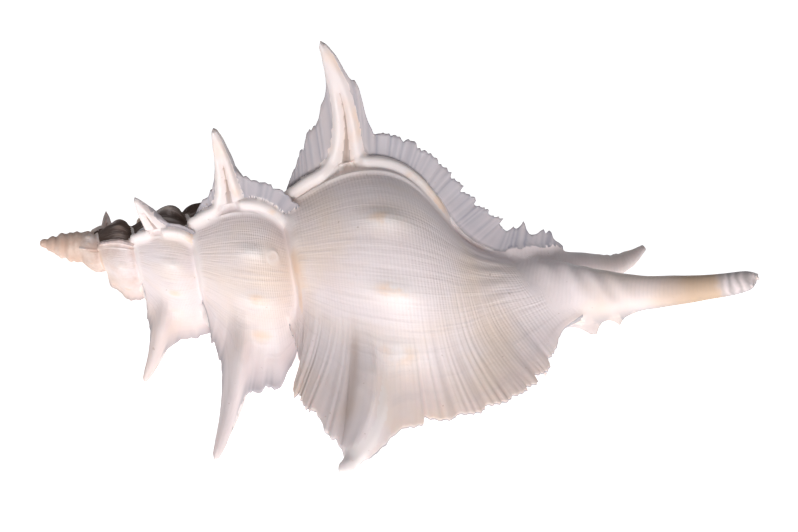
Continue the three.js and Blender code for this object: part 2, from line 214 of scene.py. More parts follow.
# ---- Growth ------------------------------
def outward(deg):
    """Straight away from the axis at a growth angle."""
    a = np.radians(deg)
    return np.array([0.0, -np.sin(a), np.cos(a)])


def forward(deg):
    """The way the shell grows there."""
    a = np.radians(deg)
    return np.array([0.0, -np.cos(a), -np.sin(a)])


def scale_at(deg):
    return WHORL_GROWTH ** (deg / 360.0)


def trail(x):
    """How far the canal is swept back at a place along the axis."""
    u = np.maximum(0.0, (np.asarray(x, float) - TRAIL_START) / 60)
    return 16 * u ** 1.35 + 5 * u ** 4


def rise(x):
    """How far the newest canal is bent outwards."""
    return 8 * np.maximum(0.0, (np.asarray(x, float) - RISE_START) / 48) ** 1.3


def trail_share(deg):
    return np.interp(-deg / VARIX_STEP, range(len(TRAIL_SHARES)), TRAIL_SHARES)


def lookup(table, x):
    t = np.array(table, float)
    return np.stack([np.interp(x, t[:, 0], column) for column in t[:, 1:].T], -1)


def catmull_rom(knots, t):
    """Uniform Catmull-Rom through the knots, at t from 0 to 1."""
    k = np.array(knots, float)
    s = np.clip(t, 0, 1) * (len(k) - 1)
    i = np.minimum(s.astype(int), len(k) - 2)
    w = (s - i)[:, None]
    before, a, b, after = k[np.maximum(i - 1, 0)], k[i], k[i + 1], k[np.minimum(i + 2, len(k) - 1)]
    va, vb = (b - before) / 2, (after - a) / 2
    return (2 * a - 2 * b + va + vb) * w ** 3 + (3 * b - 3 * a - 2 * va - vb) * w ** 2 + va * w + a


def outline(count, with_spine):
    """Points of the whorl's outline, closer together at the spine, with outward normals and arc lengths."""
    t = np.linspace(0, 1, 4001)
    p = catmull_rom(WHORL_OUTLINE, t)
    d = np.gradient(p, axis=0)
    step = np.hypot(*d.T)
    arc = np.concatenate([[0], np.cumsum(np.hypot(*np.diff(p, axis=0).T))])
    weight = np.where(p[:, 0] > 112, 0.55, 1.0)
    if with_spine:
        weight = weight + 1.6 * np.exp(-((p[:, 0] - ROOT_X) / 4.5) ** 4)
    fill = np.cumsum(weight * step)
    pick = np.interp(np.linspace(fill[0], fill[-1], count), fill, t)
    normal = np.stack([-d[:, 1], d[:, 0]], 1) / step[:, None]
    x, r, arc, across, up = (np.interp(pick, t, values) for values in (*p.T, arc, *normal.T))
    return dict(x=x, r=r, arc=arc, normal=np.stack([across, up], 1))


def ribs(arc):
    """Rounded ribs with narrow grooves between them, from 0 in a groove to 1 on a crest."""
    phase = arc / RIB_SPACING + 0.45 * np.sin(0.43 * arc)
    phase = phase + 0.3 * np.sin(1.1 * arc + 1) + 0.12 * np.sin(2.3 * arc)
    return np.abs(np.sin(np.pi * phase)) ** 0.6


def scallops(arc, seed):
    """Share of the full height left at the edge of a wing: lobes that end in a step, with fine teeth."""
    rng = np.random.default_rng(seed)
    edges = np.cumsum(rng.uniform(3, 6.5, 40)) - 6
    cuts = rng.uniform(0.06, 0.17, 40)
    lobe = np.clip(np.searchsorted(edges, arc) - 1, 0, 38)
    place = (arc - edges[lobe]) / (edges[lobe + 1] - edges[lobe])
    teeth = 0.04 * (1 - ribs(arc)) + 0.02 * np.sin(5.1 * arc)
    return 1 - cuts[lobe] * (1 - place) ** 2 - 0.3 * cuts[lobe] * np.exp(-((1 - place) / 0.08) ** 2) - teeth


# ---- Solids ------------------------------
def solid(sections, masks):
    """A closed mesh through rings of points (rows, ring, 3), with a row of masks for each point."""
    rows, n, _ = sections.shape
    i = np.arange(rows - 1)[:, None] * n
    j = np.arange(n)[None, :]
    quads = np.stack([i + j, i + (j + 1) % n, i + n + (j + 1) % n, i + n + j], -1).reshape(-1, 4).tolist()
    points = sections.reshape(-1, 3)
    for row, start in ((0, 0), (rows - 1, (rows - 1) * n)):
        ring = sections[row]
        arms = ring - ring.mean(0)
        normal = np.cross(arms, np.roll(ring, -1, 0) - ring.mean(0)).sum(0)
        for a, b, c in tessellate_polygon([[Vector(p) for p in ring]]):
            keep = np.dot(np.cross(ring[b] - ring[a], ring[c] - ring[a]), normal) > 0
            tri = [start + a, start + b, start + c] if keep else [start + a, start + c, start + b]
            quads.append(tri[::-1] if row == 0 else tri)
    return dict(points=points, faces=quads, masks=masks.reshape(-1, masks.shape[-1]))


def mask_rows(count, **values):
    """Masks of count points: each named mask has one value or count of them, and the rest are 0."""
    out = np.zeros((count, len(MASKS)))
    for name, value in values.items():
        out[:, MASKS.index(name)] = value
    return out


class Wedge:
    """The stretch of whorl that ends in varix k: sections from the varix before it to its own front."""

    def __init__(self, k):
        self.k = k
        self.end, self.start = -VARIX_STEP * k, -VARIX_STEP * (k + 1)
        self.g = scale_at(self.end)
        varix = VARICES[k]
        self.line = outline(WEDGE_POINTS[k], "tip" in varix)
        self.x, self.arc, self.normal = self.line["x"], self.line["arc"], self.line["normal"]
        self.sections, self.masks = [], []
        self.shape_wing(varix)

    def shape_wing(self, varix):
        x, arc = self.x, self.arc
        share = np.interp(x, [74, 84], varix["share"]) * np.clip((varix.get("short", 999) - x) / 6, 0, 1)
        wing = lookup(varix.get("wing", OLD_WING), x) * share[:, None]
        self.ridge = ribs(arc)
        fold = 0.75 + 0.3 * np.sin(0.63 * arc + self.k) + 0.2 * np.sin(1.7 * arc)
        self.fold = fold * np.clip((125 - x) / 12, 0.2, 1)
        self.peak = np.zeros(len(x))
        self.reach = np.zeros(2)
        self.bow, self.stout = 0.0, 1.0
        self.offset = wing * scallops(arc, 11 + self.k)[:, None]
        if "tip" in varix:
            q = (x - ROOT_X) / varix["root"]
            tables = varix.get("sides", (SPINE_PLAIN_SIDE, SPINE_PLAIN_SIDE))
            sides = [np.interp(s * q, *np.array(table).T) for s, table in zip((-1, 1), tables)]
            self.peak = np.where(q < 0, *sides)
            base = self.g * np.array([ROOT_X, np.interp(ROOT_X, x, self.line["r"])])
            self.reach = np.array(varix["tip"]) - base
            self.offset = self.offset * (1 - self.peak[:, None]) + self.peak[:, None] * self.reach
            self.bow = varix["bow"] * np.hypot(*self.reach)
            self.stout = varix["root"] * self.g ** 0.6
        self.height = np.hypot(*self.offset.T)
        cord = CORD_HEIGHT * self.g * np.clip((x - 58) / 6, 0, 1)
        self.cord = np.minimum(cord, 0.75 * self.height)

    def add(self, deg, offset, ahead=0.0, **masks):
        """A section at an angle, its outline moved by offset in its plane and by ahead along the growth."""
        g, e, t = scale_at(deg), outward(deg), forward(deg)
        x, r = self.x, self.line["r"]
        core_x, core_r = np.array([x[-1], TRAIL_START, x[0]]), np.array([1.2, CORE_RADIUS, CORE_RADIUS])
        ahead = np.broadcast_to(ahead, x.shape)
        along = np.concatenate([g * x + offset[:, 0], g * core_x])
        away = np.concatenate([g * r + offset[:, 1], g * core_r])
        on = np.concatenate([ahead, np.full(3, ahead.min())])
        on = on - g * trail_share(deg) * trail(np.concatenate([x, core_x]))
        self.sections.append(along[:, None] * AXIS + away[:, None] * e + on[:, None] * t)
        rows = mask_rows(len(x), along=x, arc=self.arc, growth=deg, size=g, rib=self.ridge,
                         dark=self.shade(deg), **masks)
        self.masks.append(np.concatenate([rows, mask_rows(3, growth=deg, size=g)]))

    def shade(self, deg):
        """Painted shadow: a dark brown sheet on the old whorls, between the hidden row of spines and the row
        on top.
        """
        if self.k not in SHADOW_REACH:
            return 0.0
        across = np.clip((deg - self.start - 2) / 6, 0, 1) * np.clip((self.end - 2 - deg) / 6, 0, 1)
        return across * np.clip(SHADOW_REACH[self.k] - self.x, 0, 12) / 12

    def sunk(self, depth):
        return -depth * np.minimum(1, self.line["r"] / 12)[:, None] * self.normal

    def knobs(self, deg):
        along = ((self.x - KNOB["x"]) / KNOB["half_length"]) ** 2
        turned = [(deg - self.start - VARIX_STEP * place) / KNOB["half_width"] for place in KNOB_PLACES]
        return sum(np.exp(-along - t ** 2) for t in turned)

    def rib_growth(self, deg):
        """How far the ribs have risen before the varix; they start earlier towards the canal."""
        early = 50 + 28 * np.clip((self.x - 86) / 12, 0, 1)
        return np.clip((deg - self.end + early) / 45, 0, 1) ** 3

    def add_body(self, rows):
        """The plain whorl, with a low arch, knobs, a raised suture, rising ribs and folds at its base."""
        first, last = self.start + 4.5, self.end - 33.5
        self.add(self.start - 2, self.sunk(0.35 * scale_at(self.start)))
        self.add(self.start + 1.5, self.sunk(0.2 * scale_at(self.start)))
        for deg in np.concatenate([first + np.array(ARCH_ROWS), np.linspace(first + 10, last, rows)]):
            g = scale_at(deg)
            knob = self.knobs(deg)
            fade = np.clip((deg - self.start - 4) / 10, 0, 1)
            seam = np.exp(-((self.x - 61.6) / 1.3) ** 2)
            suture = 0.7 * (1 + 0.2 * np.sin(0.35 * deg)) * seam
            arch = 0.9 * np.exp(-((deg - first - ARCH_PLACE) / 1.3) ** 2) * np.clip((self.x - 61) / 3, 0, 1)
            arch = arch * np.clip((106 - self.x) / 6, 0, 1)
            folds = 0.12 * np.sin(0.5 * deg + 0.35 * self.x) * np.exp(-((self.x - 108) / 7) ** 2)
            pleats = (0.004 + 0.2 * self.rib_growth(deg) * self.fold) * self.ridge
            pleats = pleats * np.clip((self.x - 60) / 4, 0, 1)
            swell = sum(h * np.exp(-((deg - at) / 22) ** 2 - ((self.x - x) / width) ** 2)
                        for k, at, x, width, h in SWELLINGS if k == self.k)
            height = KNOB["height"] * g ** 0.6 * knob + fade * g * (suture + folds + pleats)
            height = height + g * arch + swell
            cord = np.maximum(0.9 * fade * seam, 0.9 * arch)
            self.add(deg, height[:, None] * self.normal, knob=knob, cord=cord)

    def wing_offset(self, s):
        """Where the sheet of the varix is at a share s of its height."""
        u = s * self.peak
        side = self.bow * np.sin(np.pi * np.clip(u, 0, 1)) * self.peak
        return np.broadcast_to(s, u.shape)[:, None] * self.offset + side[:, None] * np.array([1.0, 0.0])

    def spine_half_thickness(self, s):
        """How far a spine's rounded back stands out from the sheet."""
        u = s * self.peak
        width = self.stout * np.interp(u, *np.array(SPINE_HALF_WIDTH).T)
        across = (self.x - ROOT_X) * self.g
        dome = np.clip(1 - (across / width) ** 2, 0, 1) ** 0.55
        return 0.8 * width * dome * np.clip(u / 0.3, 0, 1) * (self.peak > 0)

    def corrugation(self, s):
        """How far the wing's ribs and waves move it ahead; a spine itself has none."""
        beside = np.clip((np.abs(self.x - ROOT_X) - 2.8) / 1.2, 0, 1)
        clear = np.maximum(np.clip(1.4 - 1.8 * self.peak, 0, 1), beside)
        depth = 0.62 * self.g ** 0.5 * s ** 0.8 * clear * self.fold
        wave = 0.5 * self.g * np.sin(0.21 * self.arc + self.k) * s
        return -depth * (self.ridge - 0.55) + wave

    def add_back(self, rows):
        """The flare from the whorl up the back of the wing and its spine."""
        for s, before in catmull_rom(BACK_SLOPE, np.linspace(0, 1, rows)):
            deg = self.end + np.degrees(before / SHOULDER_RADIUS)
            pleats = 0.2 * self.g * self.ridge * self.fold * (1 - s) * self.rib_growth(deg)
            knob = self.knobs(deg) * (1 - s)
            bulge = pleats + 0.8 * KNOB["height"] * self.g ** 0.6 * knob
            offset = self.wing_offset(s) + bulge[:, None] * self.normal
            ahead = self.corrugation(s) - self.spine_half_thickness(s)
            # Painted shade: the crease beside the lip's horn carries the groove mask, which paints it brown.
            crease = np.exp(-(self.x - CREASE_X) ** 2) * np.interp(s, [0, 0.15, 0.7, 1], [0, 0.77, 0.77, 0])
            crease = crease * (self.k == 0)
            # Painted shade: the wing mask greys the back of the sheet towards its top, less on the lip.
            wing = (0.14 if self.k == 0 else 0.6) * s ** 2
            self.add(deg, offset, ahead, wing=wing, spine=s * self.peak, knob=knob, groove=crease)

    def add_front(self, rows):
        """The front of the wing, from its edge down to the cord, and the groove in its spine, painted brown
        as shade.
        """
        thick = 0.3 * self.g ** 0.5
        # The wing mask also paints the front of the sheet grey as shade, most at its edge.
        self.add(self.end, self.wing_offset(1.0), self.corrugation(1) + 0.02, wing=1, spine=self.peak)
        foot = np.clip(self.cord / np.maximum(self.height, 1e-6), 0, 0.8)
        for f in np.linspace(0, 1, rows):
            s = 0.99 * (1 - f) + foot * 1.05 * f
            u = s * self.peak
            groove = np.exp(-((self.x - ROOT_X) * self.g / (0.9 * self.stout)) ** 2) * (self.peak > 0)
            groove = groove * np.interp(u, [0.0, 0.1, 0.5, 0.72], [0.3, 1, 1, 0])
            ahead = thick * (1 + 1.4 * f) + self.corrugation(s) * (1 - 0.6 * f)
            self.add(self.end, self.wing_offset(s), ahead, wing=0.35 + 0.65 * s, spine=u, groove=groove)

    def add_cord(self, rows):
        """The rounded cord, from its back foot over its crest to the groove before the next whorl."""
        half, middle = CORD_WIDTH * self.g * 0.42, CORD_WIDTH * self.g * 0.58
        for a in np.linspace(np.radians(165), np.radians(-15), rows):
            lift = self.cord * (0.55 + 0.55 * np.sin(a))
            ahead = middle - half * np.cos(a)
            self.add(self.end, lift[:, None] * self.normal, ahead, cord=1)
        self.add(self.end, self.sunk(0.3 * self.g), CORD_WIDTH * self.g, cord=0.4)
        self.add(self.end, self.sunk(2 * self.g), (CORD_WIDTH + 2) * self.g)

    def build(self):
        fineness = WEDGE_FINENESS[self.k]
        parts = ((self.add_body, 46), (self.add_back, 28), (self.add_front, 14), (self.add_cord, 9))
        for add_part, rows in parts:
            add_part(max(4, round(rows * fineness)))
        return solid(np.array(self.sections), np.array(self.masks))


def circle(centres, radii, across, up, count, shape=None):
    """Rings round a line of centres; shape gives the radius's share at each angle."""
    a = np.linspace(0, 2 * np.pi, count, endpoint=False)
    r = radii[:, None] * (1 if shape is None else shape(a))
    cos, sin = np.cos(a)[None, :, None], np.sin(a)[None, :, None]
    return centres[:, None] + r[..., None] * (cos * across[:, None] + sin * up[:, None])


def along_path(path, hint):
    """Two directions across a path at each point, the first as near the hint as it can be."""
    t = np.gradient(path, axis=0)
    t /= np.linalg.norm(t, axis=1)[:, None]
    across = hint - (t * hint).sum(1)[:, None] * t
    across /= np.linalg.norm(across, axis=1)[:, None]
    return across, np.cross(t, across)


def cord_leg(k, side):
    """Half of a cord: along the foot of a varix from one side, then up the front of its spine to the tip."""
    varix, end, g = VARICES[k], -VARIX_STEP * k, scale_at(-VARIX_STEP * k)
    wide, stout = CORD_RADIUS * g ** 0.45, varix["root"] * g ** 0.6
    line = outline(400, False)
    places = [x for x in CORD_FEET[side] if x < varix.get("short", 999) + 2]
    sizes = np.interp(range(len(places)), [0, 1, 2.5], [0.5, 0.9, 1.0])
    knots = []
    for x, size in zip(places, sizes):
        at = [np.interp(x, line["x"], line[key]) for key in ("x", "r")]
        normal = [np.interp(x, line["x"], line["normal"][:, i]) for i in (0, 1)]
        knots.append([*(g * np.array(at) + 0.75 * size * wide * np.array(normal)), wide * size, 0.95 * wide])
    base = g * np.array([ROOT_X, np.interp(ROOT_X, line["x"], line["r"])])
    reach = np.array(varix["tip"]) - base
    length = np.hypot(*reach)
    up = reach / length
    across = side * np.array([up[1], -up[0]])
    for h, apart, radius in SPINE_CORD:
        bow = np.array([varix["bow"] * length * np.sin(np.pi * h), 0])
        knots.append([*(base + h * reach + apart * stout * across + bow), radius * stout, 0.6 * stout])
    count = round(30 + 55 * g)
    x, r, radii, ahead = catmull_rom(knots, np.linspace(0, 1, count)).T
    on = ahead - g * trail_share(end) * trail(x / g)
    path = x[:, None] * AXIS + r[:, None] * outward(end) + on[:, None] * forward(end)
    across, up = along_path(path, forward(end))
    rings = circle(path, radii, across, up, round(7 + 7 * g))
    s = np.linspace(0, 1, count)
    # An orange stain on the cord's canal side; it rides on the knob mask, so it also takes the knobs'
    # painted highlight.
    stained = np.exp(-((x / g - 97) / 5.5) ** 2) * (side > 0)
    masks = mask_rows(count, growth=end, size=g, cord=1 - 0.6 * stained, knob=1.6 * stained, along=x / g,
                      arc=20 * s, spine=np.clip(3 * s - 1.2, 0, 1))
    return solid(rings, np.repeat(masks[:, None], rings.shape[1], 1))


def lip_horn(count=60, sides=20):
    """The round horn that fills the back of the lip's spine."""
    varix, line = VARICES[0], outline(400, False)
    base = np.array([ROOT_X + 0.8, np.interp(ROOT_X, line["x"], line["r"])])
    reach = np.array(varix["tip"]) - base
    h, ahead, radii = catmull_rom(LIP_HORN, np.linspace(0, 1, count)).T
    bow = varix["bow"] * np.hypot(*reach) * np.sin(np.pi * np.clip(h, 0, 1))
    x, r = (base + h[:, None] * reach).T
    path = (x + bow)[:, None] * AXIS + r[:, None] * outward(0) + ahead[:, None] * forward(0)
    across, up = along_path(path, AXIS)
    masks = mask_rows(count, cord=np.clip(h / 0.4, 0, 0.8), spine=np.clip(h, 0, 1), size=1, along=x)
    return solid(circle(path, radii, across, up, sides), np.repeat(masks[:, None], sides, 1))


def suture_cord(step=3.0, sides=8):
    """The pale wavy cord along the line where each whorl clasps the one before."""
    degs = np.arange(-VARIX_STEP * 11, -6, step)
    line = outline(400, False)
    r = np.interp(SUTURE["x"], line["x"], line["r"])
    g = scale_at(degs)
    wave = 0.25 * np.sin(np.radians(degs) * 9) + 0.15 * np.sin(np.radians(degs) * 23)
    out = np.stack([outward(d) for d in degs])
    path = (g * (SUTURE["x"] + wave))[:, None] * AXIS + (g * r)[:, None] * out
    across, up = along_path(path, out)
    fade = np.clip((degs - degs[0]) / 30, 0.2, 1)
    rings = circle(path, SUTURE["radius"] * g ** 0.7 * fade, across, up, sides)
    masks = mask_rows(len(degs), cord=0.9, growth=degs, size=g, along=SUTURE["x"])
    return solid(rings, np.repeat(masks[:, None], sides, 1))


def apex(rings=60, sides=36):
    """The worn first whorls, as one tapering knob of rounded steps."""
    x, r = catmull_rom(APEX_OUTLINE, np.linspace(0, 1, rings)).T

    def steps(a):
        twist = np.sin(a[None, :] - 1.1 * x[:, None] * np.pi) * np.clip(x[:, None] / 2, 0, 1)
        return 1 + 0.05 * twist

    across, up = np.tile(outward(0), (rings, 1)), np.tile(forward(0), (rings, 1))
    points = circle(x[:, None] * AXIS, r, across, up, sides, steps)
    masks = mask_rows(1, growth=-VARIX_STEP * len(VARICES), size=0.1)
    return solid(points, np.tile(masks, (rings, sides, 1)))


def canal_middle(x, k):
    end, g, shape = -VARIX_STEP * k, scale_at(-VARIX_STEP * k), CANALS[k]
    x = np.asarray(x, float)[..., None]
    lift = shape["rise"] * rise(x) + np.interp(x, *np.array(shape["lift"], float).T)
    return g * (x * AXIS + lift * outward(end) - shape["trail"] * trail(x) * forward(end))


def canal(k):
    """The canal of one varix: a tube with a keel, slanting folds, rings at its end and, if new, teeth."""
    shape, end, g = CANALS[k], -VARIX_STEP * k, scale_at(-VARIX_STEP * k)
    radii = np.array(shape["radii"], float)
    x = np.linspace(radii[0, 0], radii[-1, 0], shape["rings"])
    s = np.linspace(0, 1, shape["rings"])
    path = canal_middle(x, k)
    across, up = along_path(path, outward(end))
    smooth = np.interp(x, *radii.T)
    for _ in range(2 * shape["rings"] // 10):
        smooth[1:-1] = (smooth[:-2] + 2 * smooth[1:-1] + smooth[2:]) / 4
    teeth = 1 + 0.55 * np.maximum(0, np.sin(1.1 * x + 0.8 * np.sin(0.5 * x))) ** 3
    crest = (shape["keel"] * np.clip(1.4 - 1.6 * s, 0, 1) * teeth)[:, None]
    rings = (0.04 * np.sin(2.2 * x) + 0.03 * np.sin(5.3 * x + 1)) * np.clip((x - 140) / 6, 0, 1)
    fin = (lookup(CANAL_TEETH, x)[:, 0] if k == 0 else 0 * x) / smooth
    slant = np.clip((x - 100) / 8, 0, 1) * np.clip((134 - x) / 5, 0, 1)

    def keel(a):
        folds = 0.09 * slant[:, None] * np.sin(1.25 * (x[:, None] - 3.4 * a[None, :]))
        side = np.maximum(0, np.cos(a - np.radians(CANAL_TEETH_SIDE)))[None, :] ** 18
        ridge = crest * np.maximum(0, np.cos(a))[None, :] ** 10
        return 1 + rings[:, None] + folds + ridge + fin[:, None] * side

    points = circle(path, g * smooth, across, up, shape["sides"], keel)
    masks = mask_rows(shape["rings"], along=x, arc=x, growth=end, size=g)
    masks = np.repeat(masks[:, None], shape["sides"], 1)
    # Painted shade: the newest canal's underside and the sides of its teeth carry the wing mask, which
    # paints them grey.
    angles = np.linspace(0, 2 * np.pi, shape["sides"], endpoint=False)
    side = np.maximum(0, np.cos(angles - np.radians(CANAL_TEETH_SIDE))) ** 6
    under = 0.5 * np.maximum(0, np.cos(angles - np.radians(CANAL_TEETH_SIDE))) ** 1.5
    tooth = np.minimum(1, 2 * fin)[:, None] * side
    masks[:, :, MASKS.index("wing")] = np.maximum(tooth, under * (k == 0))
    masks[:, :, MASKS.index("spine")] = 0.97 * tooth
    return solid(points, masks)


def canal_slit(steps=60):
    """What is cut away to open the canal along its front."""
    half = CANAL_SLIT_WIDTH / 2
    x = np.linspace(99, 162, steps)
    path = canal_middle(x, 0)
    depth = 0.25 * np.interp(x, *np.array(CANAL_RADII, float).T)
    wave = 0.25 * np.sin(0.9 * x)
    e, t = outward(0), forward(0)
    corners = [path + (a + wave)[:, None] * e + b[:, None] * t for a, b in
               ((-half, -depth), (half, -depth), (half, 14 + 0 * depth), (-half, 14 + 0 * depth))]
    return solid(np.stack(corners, 1), np.tile(mask_rows(1, inner=1), (steps, 4, 1)))


def oval(deg, half_length, half_width, count, ahead=0.0):
    """A ring of the mouth's shape at a growth angle."""
    g, e, t = scale_at(deg), outward(deg), forward(deg)
    a = -np.linspace(0, 2 * np.pi, count, endpoint=False)
    r = MOUTH["r"] + half_width * np.cos(a) * (1 - 0.12 * np.sin(a))
    x = MOUTH["x"] + half_length * np.sin(a)
    return g * x[:, None] * AXIS + g * r[:, None] * e + ahead * t


def cavity(count=64):
    """What is cut away to make the hollow behind the mouth."""
    degs = np.concatenate([np.arange(-MOUTH["turn"], -30, 8.0), [-25]])
    rows = [oval(d, CAVITY["half_length"], CAVITY["half_width"], count) for d in degs]
    for d, blend in ((-18, 0.75), (-12, 0.45), (-7, 0.2), (-3, 0.05), (0, 0)):
        rows.append(oval(d, MOUTH["half_length"] + 2 * blend, MOUTH["half_width"] + 1.6 * blend, count))
    rows.append(oval(0, MOUTH["half_length"], MOUTH["half_width"], count, 12))
    return solid(np.array(rows), np.tile(mask_rows(1, inner=1), (len(rows), count, 1)))


def mouth_rim(count=110, sides=14):
    """The smooth raised rim round the mouth."""
    path = oval(0, MOUTH["half_length"] + 0.8, MOUTH["half_width"] + 0.8, count, CORD_WIDTH - 0.3)
    centre = MOUTH["x"] * AXIS + MOUTH["r"] * outward(0)
    across = path - centre
    across /= np.linalg.norm(across, axis=1)[:, None]
    radii = MOUTH_RIM * (1 + 0.06 * np.sin(np.arange(count) * 0.9))
    rings = circle(path, radii, across, np.tile(-forward(0), (count, 1)), sides)
    rings = np.concatenate([rings, rings[:1]])
    return ring_solid(rings, inner=0.6, cord=1)


def ring_solid(rings, **masks):
    """A closed ring of circles whose last one is the first again."""
    count, sides = len(rings) - 1, rings.shape[1]
    i, j = np.arange(count)[:, None], np.arange(sides)[None, :]
    corners = ((i, j), (i, j + 1), (i + 1, j + 1), (i + 1, j))
    faces = np.stack([(a % count) * sides + b % sides for a, b in corners], -1)
    masks = mask_rows(count * sides, **masks)
    return dict(points=rings[:-1].reshape(-1, 3), faces=faces.reshape(-1, 4).tolist(), masks=masks)


def scar(count=48, sides=10):
    """A low ring on the surface of the older whorl."""
    deg, g = SCAR["angle"], scale_at(SCAR["angle"])
    p = catmull_rom(WHORL_OUTLINE, np.linspace(0, 1, 2001))
    i = int(np.argmin(np.abs(p[:, 0] - SCAR["x"])))
    d = (p[i + 1] - p[i - 1]) / np.linalg.norm(p[i + 1] - p[i - 1])
    normal = -d[1] * AXIS + d[0] * outward(deg)
    along = d[0] * AXIS + d[1] * outward(deg)
    centre = g * (p[i, 0] * AXIS + p[i, 1] * outward(deg)) + 0.02 * normal
    a = np.linspace(0, 2 * np.pi, count + 1)
    across = np.cos(a)[:, None] * along + np.sin(a)[:, None] * forward(deg)
    radii = np.full(count + 1, SCAR["thickness"])
    rings = circle(centre + SCAR["radius"] * across, radii, across, np.tile(normal, (count + 1, 1)), sides)
    return ring_solid(rings, growth=deg, size=g, cord=0.5)


# ---- Joining -----------------------------
def new_mesh(name, points, faces):
    mesh = bpy.data.meshes.new(name)
    mesh.from_pydata(points, [], faces)
    mesh.update()
    return mesh


def new_object(name, data):
    obj = bpy.data.objects.new(name, data)
    bpy.context.collection.objects.link(obj)
    return obj


def to_object(part, name):
    mesh = new_mesh(name, part["points"].tolist(), part["faces"])
    if signed_volume(mesh) < 0:
        mesh.flip_normals()
    return new_object(name, mesh)


def triangles_of(mesh):
    mesh.calc_loop_triangles()
    tris = np.empty(len(mesh.loop_triangles) * 3, np.int64)
    mesh.loop_triangles.foreach_get("vertices", tris)
    return tris.reshape(-1, 3)


def points_of(mesh):
    points = np.empty(len(mesh.vertices) * 3, np.float32)
    mesh.vertices.foreach_get("co", points)
    return points.reshape(-1, 3).astype(float)


def signed_volume(mesh):
    p, t = points_of(mesh), triangles_of(mesh)
    return np.einsum("ij,ij->i", p[t[:, 0]], np.cross(p[t[:, 1]], p[t[:, 2]])).sum() / 6


def combine(a, b, operation):
    """Join b to a, or cut it away, and drop b."""
    modifier = a.modifiers.new("combine", "BOOLEAN")
    modifier.operation, modifier.solver, modifier.object = operation, "MANIFOLD", b
    depsgraph = bpy.context.evaluated_depsgraph_get()
    mesh = bpy.data.meshes.new_from_object(a.evaluated_get(depsgraph))
    a.modifiers.clear()
    a.data = mesh
    bpy.data.objects.remove(b)
    return a


def join_all(objects):
    while len(objects) > 1:
        pairs = zip(objects[::2], objects[1::2])
        rest = objects[len(objects) // 2 * 2:]
        objects = [combine(a, b, "UNION") for a, b in pairs] + rest
    return objects[0]


def grow_shell():
    parts = [Wedge(k).build() for k in range(len(VARICES))]
    parts += [cord_leg(k, side) for k in range(len(VARICES)) if "tip" in VARICES[k] for side in (-1, 1)]
    parts += [canal(k) for k in range(len(CANALS))]
    parts += [apex(), mouth_rim(), scar(), suture_cord(), lip_horn()]
    cuts = [cavity(), canal_slit()]
    shell = join_all([to_object(part, "grown_%02d" % i) for i, part in enumerate(parts)])
    for i, cut in enumerate(cuts):
        shell = combine(shell, to_object(cut, "cut_%d" % i), "DIFFERENCE")
    return shell, parts + cuts


def keep_largest(points, tris):
    """Drop loose scraps: keep only the connected piece with the most triangles."""
    label = np.arange(len(points))
    while True:
        low = label[tris].min(1)
        new = label.copy()
        for c in range(3):
            np.minimum.at(new, tris[:, c], low)
        new = new[new]
        if (new == label).all():
            break
        label = new
    names, counts = np.unique(label[tris[:, 0]], return_counts=True)
    tris = tris[label[tris[:, 0]] == names[counts.argmax()]]
    used, tris = np.unique(tris, return_inverse=True)
    return points[used], tris.reshape(-1, 3)


def tree_of(points):
    tree = kdtree.KDTree(len(points))
    for i, p in enumerate(points):
        tree.insert(p, i)
    tree.balance()
    return tree


def carry_masks(points, parts):
    """Masks of the nearest grown point for every point, and how far away that is."""
    source = np.concatenate([part["points"] for part in parts])
    masks = np.concatenate([part["masks"] for part in parts])
    tree = tree_of(source)
    found = [tree.find(p)[1:] for p in points]
    return masks[[f[0] for f in found]], np.array([f[1] for f in found])


def soften_joints(points, tris, masks, gap, radius=1.1, passes=42):
    """Round off the creases where solids meet, more at the canal's neck, and leave the thin wings alone."""
    tree = tree_of(points[gap > 1e-3])
    distance = np.array([tree.find(p)[2] for p in points])
    neck = np.clip((points[:, 0] - 96) / 10, 0, 1) * (masks[:, MASKS.index("inner")] < 0.5)
    masks[:, MASKS.index("joint")] = np.exp(-(distance / 0.8) ** 2)
    size = np.clip(masks[:, MASKS.index("size")], 0.2, 1)
    reach = radius * size ** 0.6 * (1 + 3.6 * neck)
    thin = masks[:, MASKS.index("wing")]
    soft = np.clip(1.2 - 4 * thin * (1 - neck) - 1.2 * thin ** 4 * neck, 0, 1)
    weight = np.exp(-(distance / reach) ** 2) * soft
    edges = np.sort(np.concatenate([tris[:, [0, 1]], tris[:, [1, 2]], tris[:, [2, 0]]]), axis=1)
    a, b = np.unique(edges, axis=0).T
    count = len(points)
    degree = np.bincount(a, minlength=count) + np.bincount(b, minlength=count)
    for _ in range(passes):
        total = [np.bincount(a, points[b, c], count) + np.bincount(b, points[a, c], count) for c in range(3)]
        mean = np.stack(total, 1) / degree[:, None]
        points = points + 0.5 * weight[:, None] * (mean - points)
    return points


def rest_matrix():
    turn = Matrix.Rotation(np.radians(180 - REST_ANGLE), 3, "X")
    dip = Matrix.Rotation(np.radians(REST_DIP), 3, "Y")
    return np.array(dip @ turn)


def lay_down(points):
    """Turn the shell to its resting pose and set it on the CAD model's place, in metres."""
    turned = points @ rest_matrix().T / 1000
    low, high = turned.min(0), turned.max(0)
    cad_low, cad_high = np.array(CAD_BOX[0]), np.array(CAD_BOX[1])
    shift = (cad_low + cad_high - low - high) / 2
    shift[2] = cad_low[2] - low[2]
    return turned + shift, shift


def make_shell():
    grown, parts = grow_shell()
    points, tris = keep_largest(points_of(grown.data), triangles_of(grown.data))
    masks, gap = carry_masks(points, parts)
    points = soften_joints(points, tris, masks, gap)
    placed, shift = lay_down(points)
    mesh = new_mesh("murex_shell", placed.tolist(), tris.tolist())
    mesh.shade_smooth()
    for i, name in enumerate(MASKS):
        layer = mesh.attributes.new("shell_" + name, "FLOAT", "POINT")
        layer.data.foreach_set("value", masks[:, i].astype(np.float32))
    bpy.data.objects.remove(grown)
    return new_object("murex_shell", mesh), shift


